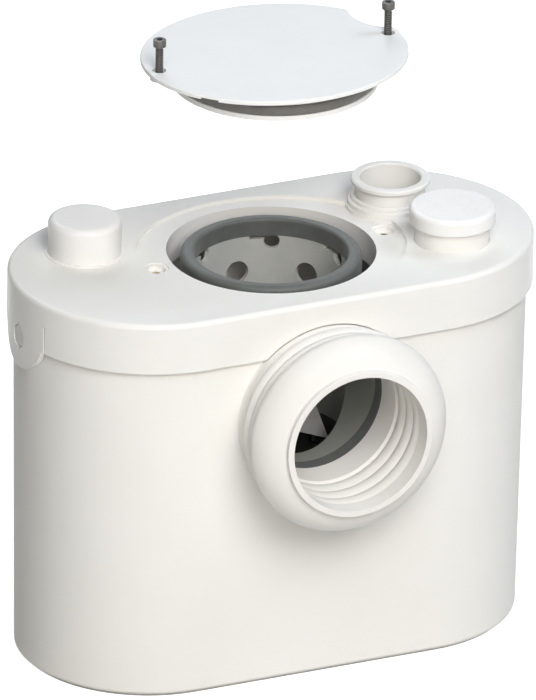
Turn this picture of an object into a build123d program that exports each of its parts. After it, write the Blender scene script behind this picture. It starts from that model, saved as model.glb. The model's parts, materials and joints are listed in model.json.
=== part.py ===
from build123d import *
import math
import os

# Macerator toilet pump: a white stadium-shaped tank and lid that stands behind a pan.
# The rubber inlet sleeve looks forward (-Y), the discharge spigot is on top at the rear right.
# The origin is on the floor under the middle of the tank, +Z is up and +X is to the right.
# The hatch cover and its two screws are modelled lifted off, as for clearing the basket.

os.makedirs("parts", exist_ok=True)

full_turn = 360
half_turn = 180
quarter_turn = 90

# Fits shared by many pieces
seat_gap = 0.2
run_gap = 0.05
free_gap = 0.5
overrun = 10.0
small_round = 0.8

# Plan and heights of the casing
arc_centre_x = 82.0
lid_wall = 3.0
lid_edge_round = 3.0
skirt_depth = 33.0
tank_lid_gap = 0.8
tank_wall = 3.0
tank_draft = 3.2
tank_foot_round = 3.0
mat_thick = 2.0
mat_inset = 4.0
seal_height = 4.0
seal_slack = 0.3

tank_floor_z = mat_thick + tank_wall

# Grip pockets at the foot of both ends
pocket_depth = 2.0
pocket_height = 13.0
pocket_low_y_share = 0.4
pocket_high_y_share = 0.76

# Snap tabs at both ends of the lid
tab_radius = 28.0
tab_drop = 19.0
tab_slit = 1.5
tab_slit_rise = 18.0
tab_hole_radius = 7.5
tab_peg_gap = 0.7
tab_peg_flush = 0.8
tab_hole_rise = 1.0
tab_notch = 1.6

# Pan inlet: rubber sleeve, gasket and the port of the chamber
inlet_bore = 45.0
sleeve_wall = 4.0
sleeve_reach = 50.0
sleeve_inside = 18.0
sleeve_ring_stand = 16.6
sleeve_ring_reach = 34.0
sleeve_ring_width = 10.0
sleeve_lip = 4.0
sleeve_brow_rise = 2.6
sleeve_shell = 3.5
sleeve_neck = 7.0
bellows_count = 2
bellows_depth = 6.0
bellows_crest = 2.8
mouth_land = 12.0
lip_count = 3
lip_pitch = 11.0
lip_height = 1.6
boss_radius = 58.5
boss_proud = 1.0
boss_round = 1.5
relief_gap = 1.5
wall_hole_gap = 0.3
sleeve_bush = 2.7
gasket_wall = 5.0
gasket_length = 10.0
port_wall = 4.0
port_flange = 4.0
port_flange_wide = 8.0

# Chamber that holds the basket, bowl below it and collar above it
chamber_over = 3.0
chamber_wall = 3.0
chamber_head = 12.5
chamber_flange = 4.0
chamber_flange_wide = 6.5
port_drop = 1.0
port_reach = 10.0
collar_wide = 8.6
collar_height = 11.7
collar_round = 4.0
collar_lip = 0.3
upper_hole_count = 6
upper_hole_radius = 5.0
upper_hole_drop = 3.6
upper_hole_angle = 24.5
upper_slot_wide = 14.0
upper_slot_deep = 2.2
lower_hole_count = 5
lower_hole_radius = 7.6
lower_hole_drop = 23.5
lower_hole_angle = -110.0
lower_hole_step_angle = 54.0
bowl_depth = 42.5
bowl_floor = 4.0
bowl_round = 8.0
bowl_hub_radius = 11.0
bowl_hub_rise = 4.0
drain_count = 12
drain_radius = 3.5
drain_rise_share = 0.5
bowl_screw_count = 6
bowl_screw_radius = 1.5
bowl_screw_head = 2.8
bowl_screw_head_high = 2.5
bowl_screw_tail = 2.0
cover_thick = 2.5

chamber_bore = inlet_bore + chamber_over
chamber_outer = chamber_bore + chamber_wall
chamber_flange_radius = chamber_outer + chamber_flange_wide
gasket_back = chamber_outer + port_reach
gasket_front = gasket_back + gasket_length

# Pump volute on its feet, impeller, and motor stacked above it
foot_height = 8.0
spout_short = 33.0
foot_radius = 4.0
foot_count = 4
foot_ring_radius = 22.0
volute_plate = 2.5
volute_wall = 3.0
volute_cavity = 15.0
volute_eye = 12.0
impeller_radius = 25.5
impeller_tongue_gap = 2.0
impeller_plate = 2.5
impeller_clear = 0.8
impeller_hub = 8.0
vane_count = 6
vane_thick = 2.0
vane_sweep = 55
vane_bulge_share = 0.62
spiral_steps = 24
spout_bore = 7.0
pipe_wall = 2.5
can_radius = 50.0
can_wall = 2.0
can_plate = 3.0
can_height = 52.0
can_flange = 3.0
can_flange_radius = 57.0
motor_cover_plate = 3.0
motor_bolt_circle_radius = 53.6
motor_bolt_count = 4
motor_bolt_radius = 1.9
motor_bolt_head = 3.0
motor_bolt_head_high = 2.4
motor_bolt_tail = 2.5
shaft_radius = 5.0
bush_radius = 8.0
bush_length = 7.0
bush_boss_wall = 3.0
stator_length = 26.0
stator_bore = 27.0
slot_count = 12
slot_wide = 6.0
slot_deep = 14.0
tooth_tip = 2.5
winding_gap = 0.4
winding_overhang = 7.0
winding_round = 2.5
air_gap = 0.6
rotor_extra = 1.0
rotor_ring_wide = 6.0
rotor_ring_high = 4.0

# The stack of the pump sets the heights of the inlet and the lid
volute_base_z = tank_floor_z + foot_height
volute_cavity_z = volute_base_z + volute_plate
can_base_z = volute_cavity_z + volute_cavity
can_top_z = can_base_z + can_height
bowl_base_z = can_top_z + motor_cover_plate
chamber_base_z = bowl_base_z + bowl_depth
inlet_z = chamber_base_z + port_drop + port_flange_wide / 2 + port_wall + inlet_bore
chamber_top_z = inlet_z + inlet_bore + port_wall + chamber_head
collar_top_z = chamber_top_z + collar_height
lid_top_z = collar_top_z + collar_lip + cover_thick
spout_z = volute_cavity_z + volute_cavity / 2
pipe_outer = spout_bore + pipe_wall
stator_mid_z = (can_base_z + can_plate + can_top_z) / 2

# The port and the sleeve's inner length set the width of the casing
sleeve_tail = gasket_front
lid_radius = sleeve_tail + sleeve_inside
boss_face = lid_radius + boss_proud
sleeve_front = boss_face + sleeve_reach
sleeve_ring_front = boss_face + sleeve_ring_reach
sleeve_ring_radius = inlet_bore + sleeve_wall + sleeve_ring_stand
lid_under_z = lid_top_z - lid_wall
skirt_low_z = lid_top_z - skirt_depth
tank_rim_radius = lid_radius - lid_wall - tank_lid_gap
tank_foot_radius = tank_rim_radius - tank_draft
tank_rim_z = lid_under_z - seal_height
tank_height = tank_rim_z - mat_thick
tank_taper = math.degrees(math.atan(tank_draft / tank_height))

# Macerating blade: three fins that reach down and out from a tall hub
blade_count = 3
blade_angle = -4
blade_hub_radius = 8.5
blade_thick = 2.5
blade_tip_radius = 40.0
blade_shoulder_radius = 27.0
blade_tip_drop = 7.0
blade_root_rise = 8.0
blade_top_rise = 28.0
blade_cap_height = 4.0
blade_tip_z = chamber_base_z - blade_tip_drop
blade_root_z = chamber_base_z + blade_root_rise
blade_top_z = chamber_base_z + blade_top_rise
shaft_top_z = blade_top_z - blade_cap_height

# Discharge: hose, riser, non-return valve and spigot at the rear right
spigot_out = 14.0
spigot_edge = 55.0
spigot_bore = 19.0
spigot_wall = 3.0
spigot_lip_wide = 2.8
spigot_lip_high = 3.5
spigot_rise = 17.5
spigot_flange = 2.5
spigot_flange_wide = 3.0
spigot_tail = 22.0
step_radius = 26.7
step_height = 3.5
step_upper_radius = 24.6
step_upper_height = 2.5
step_round = 1.2
hose_wall = 2.8
hose_length = 26.0
hose_grip_share = 0.46
clip_wide = 6.0
clip_thick = 1.2
clip_lug_long = 7.0
clip_lug_high = 4.0
valve_socket = 12.0
valve_wall = 3.0
valve_floor = 3.0
valve_room = 30.0
valve_tail = 16.0
valve_seat_bore = 10.0
flap_radius = 13.0
flap_thick = 2.0
flap_lift = 0.3
flap_hinge_gap = 2.3
flap_pin_radius = 1.0
flap_knuckle = 2.1
flap_knuckle_long = 8.0
lug_thick = 3.0
lug_gap = 0.4
spigot_x = arc_centre_x + spigot_out
spigot_y = lid_radius - spigot_edge
spigot_top_z = lid_top_z + spigot_rise
spout_reach = spigot_x - spout_short

# Capped upper inlet at the front right, with its own rubber flap
upper_out = 27.0
upper_edge = 57.6
upper_bore = 21.0
upper_wall = 2.6
upper_rim_rise = 13.0
upper_depth = 20.0
upper_flange = 2.5
upper_flange_wide = 3.0
cap_radius = 27.0
cap_height = 10.0
cap_wall = 3.0
cap_round = 3.0
cap_plug_deep = 12.0
cap_plug_wall = 2.5
cap_groove = 1.2
cap_groove_high = 2.4
cap_ring_stand = 0.15
upper_flap_thick = 2.0
upper_flap_lift = 0.3
upper_flap_edge = 1.0
upper_hinge_out = 3.6
cap_plug_gap = 0.5
upper_x = arc_centre_x + upper_out
upper_y = upper_edge - lid_radius
upper_rim_z = lid_top_z + upper_rim_rise

# Hatch in the lid: recess, opening and screws
hatch_lift = 132.0
cover_edge_x = 7.5
cover_edge_y = 15.0
recess_gap = 1.0
recess_floor = 3.0
hatch_room = 8.0
hatch_wall = 3.0
hatch_wall_deep = 20.0
bite_radius = 28.5
bite_gap = 0.6
plug_gap = 2.0
plug_wall = 5.5
plug_depth = 18.0
plug_groove_deep = 3.0
plug_groove_low = 3.2
plug_groove_high = 7.0
plug_flange_gap = 0.9
ring_squeeze_gap = 0.3
screw_out = 12.0
screw_y = 1.3
screw_head = 4.05
screw_head_high = 4.3
screw_radius = 2.2
screw_length = 26.0
screw_socket = 1.9
screw_socket_deep = 2.4
screw_socket_sides = 6
screw_lift = 21.0
sink_gap = 0.3
sink_boss_wall = 1.3
sink_floor = 1.8
sink_pocket_gap = 0.35
sink_rim_wide = 2.0
sink_rim_deep = 0.8
insert_wall = 1.2
insert_length = 14.0
insert_boss_wall = 2.6
cover_notch = 6.0
cover_notch_deep = 1.2
cover_notch_angle = 220
cover_notch_tilt_angle = -46
hatch_bore = chamber_flange_radius + hatch_room
screw_x = hatch_bore + screw_out
cover_half_x = screw_x + cover_edge_x
cover_half_y = lid_radius - cover_edge_y

# Level switch under the dome at the rear left
dome_out = 29.5
dome_edge = 54.0
dome_radius = 23.0
dome_wall = 3.0
dome_rise = 24.0
dome_round = 4.0
dome_foot_round = 1.5
bell_clear = 19.0
bell_bore = 11.5
bell_wall = 2.5
cup_radius = 30.0
cup_depth = 13.0
cup_floor = 2.5
cup_wall = 2.5
membrane_thick = 1.5
membrane_bead = 2.4
housing_height = 35.5
plunger_disc = 12.0
plunger_disc_high = 2.2
plunger_radius = 3.0
plunger_height = 12.0
switch_long = 20.0
switch_wide = 6.4
switch_high = 10.0
switch_above = 3.4
switch_button_radius = 1.2
switch_button_inset = 6.0
lever_thick = 0.8
lever_wide = 4.4
lever_reach = 13.0
lever_pin = 0.8
lever_ear = 1.0
bridge_thick = 2.5
switch_gap = 0.3
switch_button_edge = 0.3
filter_height = 13.0
dome_x = -arc_centre_x - dome_out
dome_y = lid_radius - dome_edge
bell_low_z = tank_floor_z + bell_clear

# Electrics box at the front left, and the gland of the supply lead
box_out = 28.0
box_edge = 56.0
box_wall = 2.0
box_round = 9.0
box_headroom = 8.0
box_side_room = 5.0
capacitor_radius = 14.0
capacitor_height = 38.0
capacitor_gap = 0.5
terminal_long = 12.0
terminal_wide = 30.0
terminal_high = 14.0
terminal_gap = 3.5
terminal_edge_gap = 2.0
terminal_ways = 3
terminal_hole = 2.2
gland_x = -50.0
gland_drop = 18.0
gland_radius = 7.0
gland_nut = 10.0
gland_nut_thick = 4.0
gland_dome = 9.0
gland_bore = 4.0
gland_sides = 6
box_x = -arc_centre_x - box_out
box_y = box_edge - lid_radius
box_ends_long = 2 * box_wall + capacitor_gap + terminal_gap + terminal_edge_gap
box_long = box_ends_long + 2 * capacitor_radius + terminal_long
box_wide = terminal_wide + 2 * (box_wall + box_side_room)
box_deep = box_wall + capacitor_height + box_headroom
capacitor_x = box_x - box_long / 2 + box_wall + capacitor_gap + capacitor_radius
terminal_x = box_x + box_long / 2 - box_wall - terminal_edge_gap - terminal_long / 2
gland_z = lid_top_z - gland_drop

housing_low_z = lid_under_z - housing_height
membrane_low_z = housing_low_z - membrane_thick
cup_low_z = membrane_low_z - cup_depth
plunger_low_z = housing_low_z + switch_gap
plunger_top_z = plunger_low_z + plunger_height
lever_low_z = plunger_top_z + switch_gap
switch_low_z = lever_low_z + lever_thick + switch_above
seated_cover_z = lid_top_z - cover_thick
recess_under_z = seated_cover_z - recess_floor
valve_seat_z = lid_under_z - spigot_tail - valve_room + valve_socket
hose_low_x = spout_reach - hose_length * hose_grip_share
hose_high_x = hose_low_x + hose_length
elbow_radius = spigot_x - hose_high_x - seat_gap
base_align = (Align.CENTER, Align.CENTER, Align.MIN)
arc_middle_share = 1 - math.sqrt(0.5)


def stadium(radius):
    return SlotCenterToCenter(2 * arc_centre_x, 2 * radius)


def slab(outline, low, high):
    return Pos(0, 0, low) * extrude(outline, high - low)


def rod(radius, low, high, x=0, y=0):
    return Pos(x, y, low) * Cylinder(radius, high - low, align=base_align)


def ring(outer, inner, low, high, x=0, y=0):
    return Pos(x, y, 0) * slab(Circle(outer) - Circle(inner), low, high)


def turned(outline, x=0, y=0):
    return Pos(x, y, 0) * revolve(Plane.XZ * outline, axis=Axis.Z)


def turned_points(points, x=0, y=0):
    return turned(make_face(Polyline(*points, close=True)), x, y)


def facing_front(shape):
    return Pos(0, 0, inlet_z) * Rot(quarter_turn, 0, 0) * shape


def along_x(radius, low, high, y, z):
    return Pos(low, y, z) * Rot(0, quarter_turn, 0) * Cylinder(radius, high - low, align=base_align)


def along_y(radius, low, high, x, z):
    return Pos(x, high, z) * Rot(quarter_turn, 0, 0) * Cylinder(radius, high - low, align=base_align)


def around(shape, count, first=0):
    return [Rot(0, 0, first + full_turn * k / count) * shape for k in range(count)]


def polar(radius, angle):
    turn = math.radians(angle)
    return (radius * math.cos(turn), radius * math.sin(turn))


def tank_form(inset, low):
    radius = tank_foot_radius - inset + tank_draft * (low - mat_thick) / tank_height
    rise = tank_rim_z - low
    return Pos(0, 0, low) * extrude(stadium(radius), rise, taper=-tank_taper)


def tank_radius_at(z):
    return tank_foot_radius + tank_draft * (z - mat_thick) / tank_height


def make_base_mat():
    return slab(stadium(tank_foot_radius - mat_inset), 0, mat_thick)


def grip_pockets():
    low_y = tank_foot_radius * pocket_low_y_share
    high_y = tank_foot_radius * pocket_high_y_share
    band = stadium(lid_radius) - stadium(tank_foot_radius - pocket_depth)
    skin = slab(band, mat_thick, mat_thick + pocket_height)
    reach = 2 * (arc_centre_x + lid_radius)
    window = Box(reach, high_y - low_y, lid_radius, align=base_align)
    window = Pos(0, (low_y + high_y) / 2, mat_thick) * window
    return skin & window


def make_tank():
    body = tank_form(0, mat_thick)
    foot = body.edges().group_by(Axis.Z)[0]
    body = fillet(foot, tank_foot_round)
    boss = Cylinder(boss_radius, boss_face - tank_foot_radius + tank_wall, align=base_align)
    boss = fillet(boss.edges().group_by(Axis.Z)[-1], boss_round)
    body += facing_front(Pos(0, 0, tank_foot_radius - tank_wall) * boss)
    body -= tank_form(tank_wall, tank_floor_z)
    hole = sleeve_outer() + sleeve_bush + wall_hole_gap
    body -= facing_front(rod(hole, tank_foot_radius - overrun, boss_face + overrun))
    body -= grip_pockets()
    peg_z = tab_hole_z()
    peg_root = arc_centre_x + tank_radius_at(peg_z) - tank_wall
    peg_end = arc_centre_x + lid_radius - tab_peg_flush
    peg = along_x(tab_hole_radius - tab_peg_gap, peg_root, peg_end, 0, peg_z)
    body += peg + mirror(peg, about=Plane.YZ)
    body -= along_y(gland_radius + seat_gap, tank_rim_radius - overrun, lid_radius, gland_x, gland_z)
    return body


def sleeve_outer():
    return inlet_bore + sleeve_wall


def tab_hole_z():
    return skirt_low_z + tab_hole_rise


def cover_outline(grow=0):
    oval = Ellipse(cover_half_x + grow, cover_half_y + grow)
    return oval - Pos(spigot_x, spigot_y) * Circle(bite_radius - grow * bite_gap)


def tray_cutouts():
    flange = spigot_bore + spigot_wall + spigot_flange_wide
    neck = upper_bore + upper_wall + upper_flange_wide
    low = recess_under_z - overrun
    box = RectangleRounded(box_long + 2 * free_gap, box_wide + 2 * free_gap, box_round)
    return [rod(flange + free_gap, low, lid_under_z, spigot_x, spigot_y),
            rod(cup_radius + free_gap, low, lid_under_z, dome_x, dome_y),
            rod(neck + free_gap, low, lid_under_z, upper_x, upper_y),
            Pos(box_x, box_y) * slab(box, low, lid_under_z)]


def screw_places():
    return [(-screw_x, screw_y), (screw_x, screw_y)]


def lid_tabs(shell):
    centre_z = skirt_low_z - tab_drop + tab_radius
    tongue = along_x(tab_radius, -arc_centre_x - lid_radius, arc_centre_x + lid_radius, 0, centre_z)
    return shell & tongue


def lid_slits():
    reach = 2 * (arc_centre_x + lid_radius) + overrun
    height = tab_slit_rise + tab_drop
    low = skirt_low_z - tab_drop
    slot = Pos(0, tab_radius + tab_slit / 2, low) * Box(reach, tab_slit, height, align=base_align)
    slots = slot + mirror(slot, about=Plane.XZ)
    return slots - Box(2 * arc_centre_x, 2 * lid_radius, 2 * lid_top_z)


def tab_hole():
    reach = arc_centre_x + lid_radius + overrun
    hole = along_x(tab_hole_radius, -reach, reach, 0, tab_hole_z())
    notch_high = 2 * tab_hole_radius + 2 * tab_notch
    notch = Pos(0, 0, tab_hole_z()) * Box(2 * reach, tab_notch, notch_high)
    return (hole + notch) - Box(2 * arc_centre_x, 2 * lid_radius, 2 * lid_top_z)


def make_lid():
    cap = slab(stadium(lid_radius), skirt_low_z, lid_top_z)
    cap = fillet(cap.edges().group_by(Axis.Z)[-1], lid_edge_round)
    cap -= slab(stadium(lid_radius - lid_wall), skirt_low_z - overrun, lid_under_z)
    skirt = slab(stadium(lid_radius) - stadium(lid_radius - lid_wall), skirt_low_z - tab_drop, skirt_low_z)
    cap += lid_tabs(skirt)
    cap -= lid_slits()
    cap -= tab_hole()
    relief = boss_radius + relief_gap
    cap -= facing_front(rod(relief, tank_rim_radius, lid_radius + overrun))
    cap = lid_hatch(cap)
    cap = lid_holes(cap)
    cap -= along_y(gland_radius + seat_gap, tank_rim_radius, lid_radius + overrun, gland_x, gland_z)
    return cap


def lid_hatch(cap):
    tray = Ellipse(cover_half_x + recess_gap + lid_wall, cover_half_y + recess_gap + lid_wall)
    cap += slab(tray, recess_under_z, lid_under_z) - tray_cutouts()
    cap -= slab(cover_outline(recess_gap), seated_cover_z, lid_top_z + overrun)
    cap += ring(hatch_bore + hatch_wall, hatch_bore, seated_cover_z - hatch_wall_deep, recess_under_z)
    cap -= rod(hatch_bore, seated_cover_z - hatch_wall_deep - overrun, lid_top_z)
    post_low = seated_cover_z - sink_boss_deep() - sink_pocket_gap - insert_length
    for x, y in screw_places():
        pocket = sink_boss_radius() + sink_pocket_gap
        seat = seated_cover_z - sink_boss_deep() - sink_pocket_gap
        cap += rod(pocket + insert_boss_wall - sink_pocket_gap, post_low, recess_under_z, x, y)
        cap -= rod(pocket, seat, lid_top_z, x, y)
        cap -= rod(pocket + sink_rim_wide, seated_cover_z - sink_rim_deep, lid_top_z, x, y)
        cap -= rod(insert_radius(), post_low - overrun, seat, x, y)
    return cap


def sink_boss_radius():
    return screw_head + sink_gap + sink_boss_wall


def sink_boss_deep():
    return screw_head_high + sink_floor - cover_thick


def insert_radius():
    return screw_radius + run_gap + insert_wall


def lid_holes(cap):
    cap -= rod(dome_radius - dome_wall, lid_under_z - overrun, lid_top_z + overrun, dome_x, dome_y)
    spigot_hole = spigot_bore + spigot_wall + seat_gap
    cap -= rod(spigot_hole, lid_under_z - overrun, lid_top_z + overrun, spigot_x, spigot_y)
    neck_hole = upper_bore + upper_wall + seat_gap
    cap -= rod(neck_hole, lid_under_z - overrun, lid_top_z + overrun, upper_x, upper_y)
    return cap


def make_vent_dome():
    dome = Cylinder(dome_radius, dome_rise, align=base_align)
    dome = fillet(dome.edges().group_by(Axis.Z)[-1], dome_round)
    foot = dome_radius + dome_foot_round
    body = Pos(dome_x, dome_y, lid_top_z) * dome
    body += rod(foot, lid_top_z, lid_top_z + small_round, dome_x, dome_y)
    room_top = lid_top_z + dome_rise - dome_wall
    return body - rod(dome_radius - dome_wall, lid_top_z - overrun, room_top, dome_x, dome_y)


def make_spigot_collar():
    step_top = lid_top_z + step_height
    body = rod(step_radius, lid_top_z, step_top, spigot_x, spigot_y)
    body = fillet(body.edges().group_by(Axis.Z)[-1], step_round)
    upper = rod(step_upper_radius, lid_top_z, step_top + step_upper_height, spigot_x, spigot_y)
    body += fillet(upper.edges().group_by(Axis.Z)[-1], step_round)
    spigot_hole = spigot_bore + spigot_wall + seat_gap
    return body - rod(spigot_hole, lid_top_z - overrun, spigot_top_z, spigot_x, spigot_y)


def make_upper_neck():
    neck = upper_bore + upper_wall
    body = rod(neck, lid_under_z - upper_depth, upper_rim_z, upper_x, upper_y)
    body += rod(neck + upper_flange_wide, lid_under_z - upper_flange, lid_under_z, upper_x, upper_y)
    body += upper_hinge_lugs()
    low = lid_under_z - upper_depth - overrun
    return body - rod(upper_bore, low, upper_rim_z + overrun, upper_x, upper_y)


def upper_hinge():
    x = upper_x - upper_bore - upper_wall - upper_hinge_out
    z = lid_under_z - upper_depth - upper_flap_lift - upper_flap_thick / 2
    return x, z


def upper_hinge_lugs():
    x, z = upper_hinge()
    wide = 2 * flap_knuckle
    low = z - flap_knuckle
    high = lid_under_z - upper_depth / 2
    inner = upper_x - upper_bore - upper_wall / 2
    lug_y = flap_knuckle_long / 2 + lug_gap + lug_thick / 2
    lugs = []
    for side in (-1, 1):
        y = upper_y + side * lug_y
        post = Pos(x, y, low) * Box(wide, lug_thick, high - low, align=base_align)
        web_long = inner - x
        web_high = high - lid_under_z + upper_depth
        web = Pos(x + web_long / 2, y, lid_under_z - upper_depth) * Box(
            web_long, lug_thick, web_high, align=base_align)
        lugs.append(post + web)
    hole = along_y(flap_pin_radius, upper_y - upper_bore, upper_y + upper_bore, x, z)
    return lugs[0] + lugs[1] - hole


def make_lid_seal():
    outline = stadium(tank_rim_radius - seal_slack) - stadium(tank_rim_radius - tank_wall)
    return slab(outline, tank_rim_z, lid_under_z)


def sleeve_outline():
    outer = sleeve_outer()
    bush = outer + sleeve_bush
    cavity = bush + sleeve_shell
    root = sleeve_ring_radius - bellows_depth
    crest = root + bellows_crest
    back = boss_face
    flange_top = back + sleeve_neck
    ring_back = sleeve_ring_front - sleeve_ring_width
    pitch = (ring_back - flange_top) / bellows_count
    brow = sleeve_front - sleeve_lip
    edges = []
    tail = Polyline((inlet_bore, sleeve_tail), (outer, sleeve_tail), (outer, tank_foot_radius - tank_wall),
                    (bush, tank_foot_radius - tank_wall), (bush, back), (outer, back + sleeve_bush),
                    (outer, ring_back - sleeve_shell), (cavity, ring_back - sleeve_shell), (cavity, back),
                    (root, back), (root, flange_top))
    edges.append(tail)
    for k in range(bellows_count):
        low = flange_top + k * pitch
        edges.append(ThreePointArc((root, low), (crest, low + pitch / 2), (root, low + pitch)))
    edges.append(ThreePointArc((root, ring_back), (sleeve_ring_radius, ring_back + sleeve_ring_width / 2),
                               (sleeve_ring_radius - small_round, sleeve_ring_front)))
    mid_r = (sleeve_ring_radius + outer + small_round) / 2
    mid_t = (sleeve_ring_front + brow) / 2 + sleeve_brow_rise
    edges.append(ThreePointArc((sleeve_ring_radius - small_round, sleeve_ring_front), (mid_r, mid_t),
                               (outer + small_round, brow)))
    edges.append(Polyline((outer + small_round, brow), (outer, brow + small_round),
                          (outer, sleeve_front - small_round)))
    edges.append(ThreePointArc((outer, sleeve_front - small_round),
                               (outer - small_round / 2, sleeve_front),
                               (outer - small_round, sleeve_front)))
    land = sleeve_front - mouth_land
    edges.append(Polyline((outer - small_round, sleeve_front), (inlet_bore, sleeve_front),
                          (inlet_bore, land)))
    edges.extend(lip_edges(land))
    return make_face(edges)


def lip_edges(land):
    valley = inlet_bore + lip_height
    first = land - lip_height
    last = first - lip_count * lip_pitch
    edges = [Line((inlet_bore, land), (valley, first))]
    for k in range(lip_count):
        top = first - k * lip_pitch
        low = top - lip_pitch
        edges.append(ThreePointArc((valley, top), (inlet_bore, (top + low) / 2), (valley, low)))
    edges.append(Polyline((valley, last), (inlet_bore, last - lip_height), (inlet_bore, sleeve_tail)))
    return edges


def make_inlet_sleeve():
    return facing_front(revolve(Plane.XZ * sleeve_outline(), axis=Axis.Z))


def make_port_gasket():
    return facing_front(ring(inlet_bore + gasket_wall, inlet_bore, gasket_back, gasket_front))


def make_chamber():
    port_outer = inlet_bore + port_wall
    body = rod(chamber_outer, chamber_base_z, chamber_top_z)
    body += rod(chamber_flange_radius, chamber_base_z, chamber_base_z + chamber_flange)
    body += facing_front(rod(port_outer, 0, gasket_back))
    body += facing_front(rod(port_outer + port_flange_wide / 2, gasket_back - port_flange, gasket_back))
    body -= rod(chamber_bore, chamber_base_z - overrun, chamber_top_z + overrun)
    body -= facing_front(rod(inlet_bore, 0, gasket_back + overrun))
    body -= chamber_holes()
    for hole in bowl_screw_holes():
        body -= hole
    return body


def chamber_holes():
    cuts = []
    reach = chamber_outer + overrun
    port_half_angle = math.degrees(math.asin(inlet_bore / chamber_outer))
    slot_z = chamber_top_z - upper_slot_deep / 2
    slot = Pos(-upper_slot_wide / 2, reach / 2, slot_z) * Box(upper_slot_wide, reach, upper_slot_deep)
    for k in range(upper_hole_count):
        angle = upper_hole_angle + k * full_turn / upper_hole_count
        drill = along_y(upper_hole_radius, 0, reach, 0, chamber_top_z - upper_hole_drop)
        cuts.append(Rot(0, 0, -angle) * (drill + slot))
    for k in range(lower_hole_count):
        angle = lower_hole_angle + k * lower_hole_step_angle
        if abs(angle) < half_turn - port_half_angle:
            drill = along_y(lower_hole_radius, 0, reach, 0, chamber_top_z - lower_hole_drop)
            cuts.append(Rot(0, 0, -angle) * drill)
    return cuts


def bowl_screw_places():
    radius = (chamber_outer + chamber_flange_radius) / 2
    return [polar(radius, k * full_turn / bowl_screw_count) for k in range(bowl_screw_count)]


def bowl_screw_holes():
    low = chamber_base_z - chamber_flange - overrun
    high = chamber_base_z + chamber_flange + overrun
    radius = bowl_screw_radius + run_gap
    return [rod(radius, low, high, x, y) for x, y in bowl_screw_places()]


def make_bowl_screws():
    seat = chamber_base_z + chamber_flange
    low = chamber_base_z - chamber_flange - bowl_screw_tail
    screws = []
    for x, y in bowl_screw_places():
        shank = rod(bowl_screw_radius, low, seat, x, y)
        head = rod(bowl_screw_head, seat, seat + bowl_screw_head_high, x, y)
        screws.append(shank + head)
    return Compound(screws)


def make_basket_collar():
    outer = chamber_bore + collar_wide
    top = collar_top_z
    points = [(chamber_bore, chamber_top_z), (outer, chamber_top_z), (outer, top - collar_round)]
    outer_middle = collar_round * arc_middle_share
    over = ThreePointArc((outer, top - collar_round), (outer - outer_middle, top - outer_middle),
                         (outer - collar_round, top))
    inner_round = collar_round / 2
    inner_middle = inner_round * arc_middle_share
    inner = ThreePointArc((chamber_bore + inner_round, top),
                          (chamber_bore + inner_middle, top - inner_middle),
                          (chamber_bore, top - inner_round))
    edges = [Polyline(*points), over, Line((outer - collar_round, top), (chamber_bore + inner_round, top)),
             inner, Line((chamber_bore, top - inner_round), (chamber_bore, chamber_top_z))]
    return turned(make_face(edges))


def make_macerator_bowl():
    outer = chamber_outer
    rim_low = chamber_base_z - chamber_flange
    body = rod(outer, bowl_base_z, chamber_base_z)
    body = fillet(body.edges().group_by(Axis.Z)[0], bowl_round)
    body += rod(chamber_flange_radius, rim_low, chamber_base_z)
    room = Pos(0, 0, bowl_base_z + bowl_floor) * Cylinder(
        chamber_bore, chamber_base_z - bowl_base_z, align=base_align)
    room = fillet(room.edges().group_by(Axis.Z)[0], bowl_round - chamber_wall)
    body -= room
    body += rod(bowl_hub_radius, bowl_base_z, bowl_base_z + bowl_floor + bowl_hub_rise)
    body -= rod(bush_radius, bowl_base_z - overrun, bowl_base_z + bowl_floor + bowl_hub_rise + overrun)
    drain_z = bowl_base_z + (chamber_base_z - bowl_base_z) * drain_rise_share
    drill = along_y(drain_radius, 0, outer + overrun, 0, drain_z)
    body -= around(drill, drain_count)
    body -= bowl_screw_holes()
    return body


def spiral_point(start, end, part):
    radius = start + (end - start) * part
    angle = math.radians(quarter_turn - full_turn * part)
    return (radius * math.cos(angle), radius * math.sin(angle))


def spiral_face(start, end):
    points = [spiral_point(start, end, k / spiral_steps) for k in range(spiral_steps + 1)]
    return make_face([Spline(*points), Line(points[-1], points[0])])


def make_volute():
    start = impeller_radius + impeller_tongue_gap
    end = spigot_y + spout_bore
    body = slab(spiral_face(start + volute_wall, end + volute_wall), volute_base_z, can_base_z)
    body += slab(Circle(start + volute_wall), volute_base_z, can_base_z)
    body += along_x(pipe_outer, 0, spout_reach, spigot_y, spout_z)
    for x, y in foot_places():
        body += rod(foot_radius, tank_floor_z, volute_base_z, x, y)
    body -= rod(can_radius + free_gap, can_base_z, can_top_z)
    body -= slab(spiral_face(start, end), volute_cavity_z, can_base_z)
    body -= rod(start, volute_cavity_z, can_base_z)
    body -= along_x(spout_bore, 0, spout_reach + overrun, spigot_y, spout_z)
    body -= rod(volute_eye, tank_floor_z, volute_cavity_z + overrun)
    return body


def foot_places():
    return [polar(foot_ring_radius, (k + 0.5) * full_turn / foot_count) for k in range(foot_count)]


def make_impeller():
    plate_top = can_base_z - impeller_clear
    plate_low = plate_top - impeller_plate
    vane_low = volute_cavity_z + impeller_clear
    body = rod(impeller_radius, plate_low, plate_top)
    body += rod(impeller_hub, vane_low, plate_top)
    inner = impeller_hub - vane_thick / 2
    outer = impeller_radius - vane_thick
    middle = polar((inner + outer) / 2, -vane_sweep * (1 - vane_bulge_share))
    path = ThreePointArc((inner, 0), middle, polar(outer, -vane_sweep))
    vane = slab(SlotArc(path, vane_thick), vane_low, plate_low)
    for blade in around(vane, vane_count):
        body += blade
    body -= rod(shaft_radius, vane_low - overrun, plate_top + overrun)
    return body


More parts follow.
